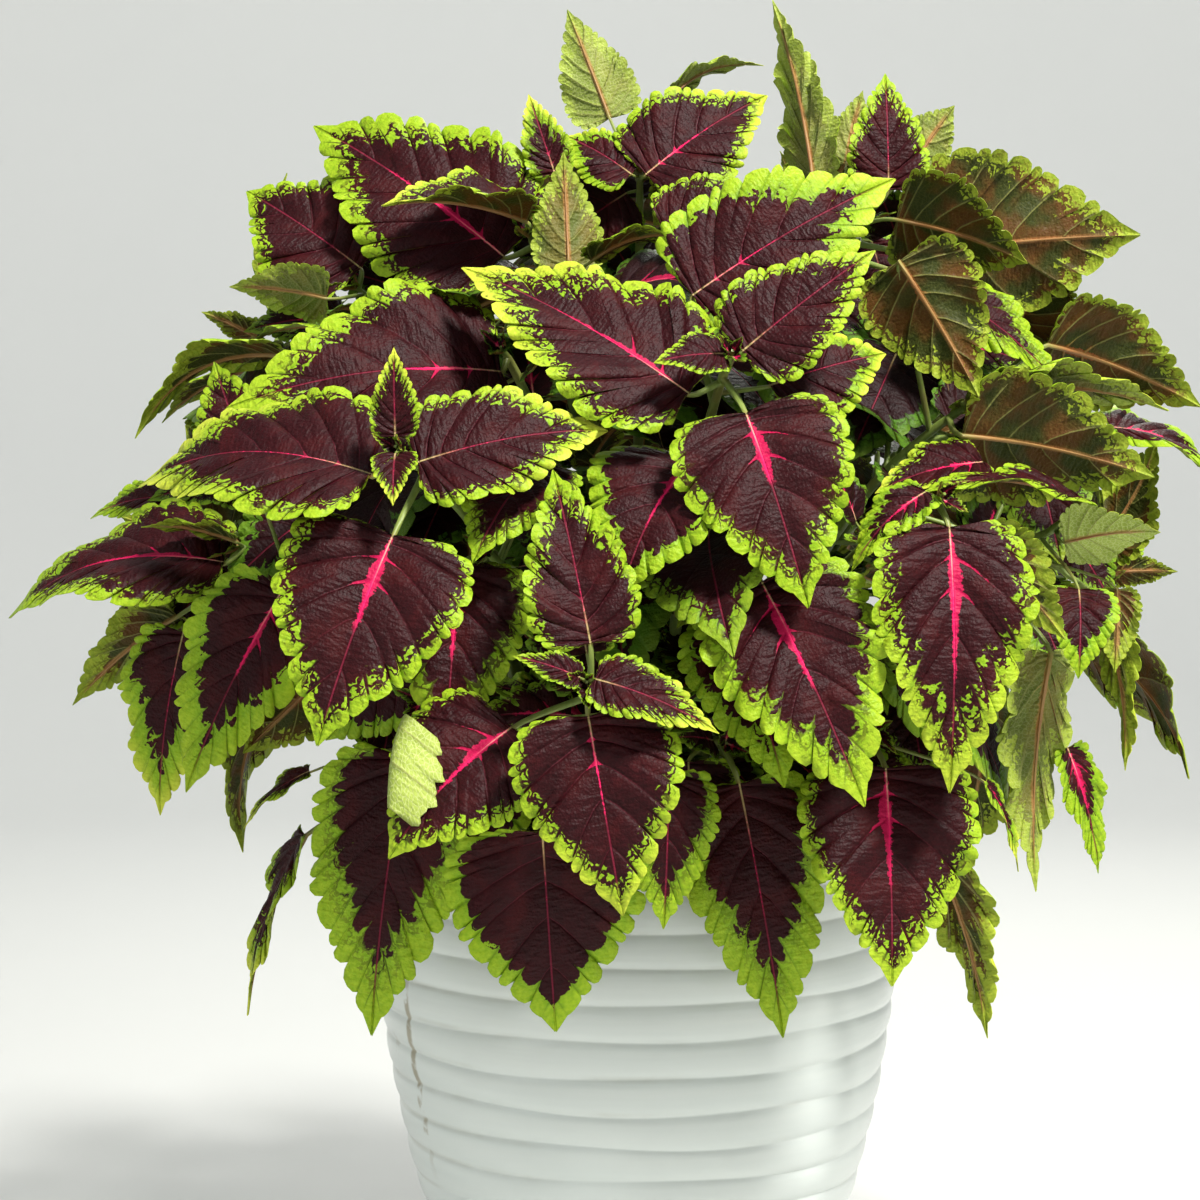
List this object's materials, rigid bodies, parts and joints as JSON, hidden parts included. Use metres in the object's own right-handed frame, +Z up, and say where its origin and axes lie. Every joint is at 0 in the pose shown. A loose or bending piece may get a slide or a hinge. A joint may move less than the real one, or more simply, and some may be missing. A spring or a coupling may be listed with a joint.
{
  "type": "potted coleus",
  "caption": "Bushy coleus with burgundy, lime-edged leaves on square stems, growing in a tall ribbed round pot of glazed ceramic.",
  "frame": {"origin": "centre of the pot's flat underside, on the surface it stands on", "axes": "+Z up along the pot's axis, -Y towards the plant's best side, +X to the right of someone who looks at that side"},
  "size_m": [0.8753, 0.838, 1.0418],
  "materials": {
    "pot_glaze": "gloss white glaze over soft turned ribs",
    "potting_soil": "moist dark potting mix of bark and peat, matt",
    "leaf_blade": "burgundy blade with a scalloped lime margin and a magenta midrib, matt with a soft sheen",
    "leaf_underside": "olive underside with raised paler veins, matt",
    "stem": "green, slightly glossy, fleshy square stem and petiole"
  },
  "bodies": {
    "root": {"pot": "pot_glaze", "soil": "potting_soil", "shoot_a": "leaf_blade", "shoot_b": "leaf_blade", "shoot_c": "leaf_blade", "shoot_d": "leaf_blade", "shoot_e": "leaf_blade", "shoot_f": "leaf_blade", "shoot_g": "leaf_blade", "shoot_h": "leaf_blade", "shoot_i": "leaf_blade", "shoot_j": "leaf_blade", "shoot_k": "leaf_blade", "shoot_m": "leaf_blade", "shoot_n": "leaf_blade", "shoot_q": "leaf_blade", "shoot_r": "leaf_blade", "shoot_t": "leaf_blade", "shoot_u": "leaf_blade", "shoot_v": "leaf_blade", "shoot_back1": "leaf_blade", "shoot_back2": "leaf_blade", "shoot_back3": "leaf_blade", "shoot_back4": "leaf_blade", "shoot_back5": "leaf_blade", "shoot_back6": "leaf_blade", "shoot_back7": "leaf_blade", "shoot_back8": "leaf_blade", "shoot_back9": "leaf_blade", "shoot_back10": "leaf_blade", "shoot_back11": "leaf_blade"}
  },
  "joints": []
}
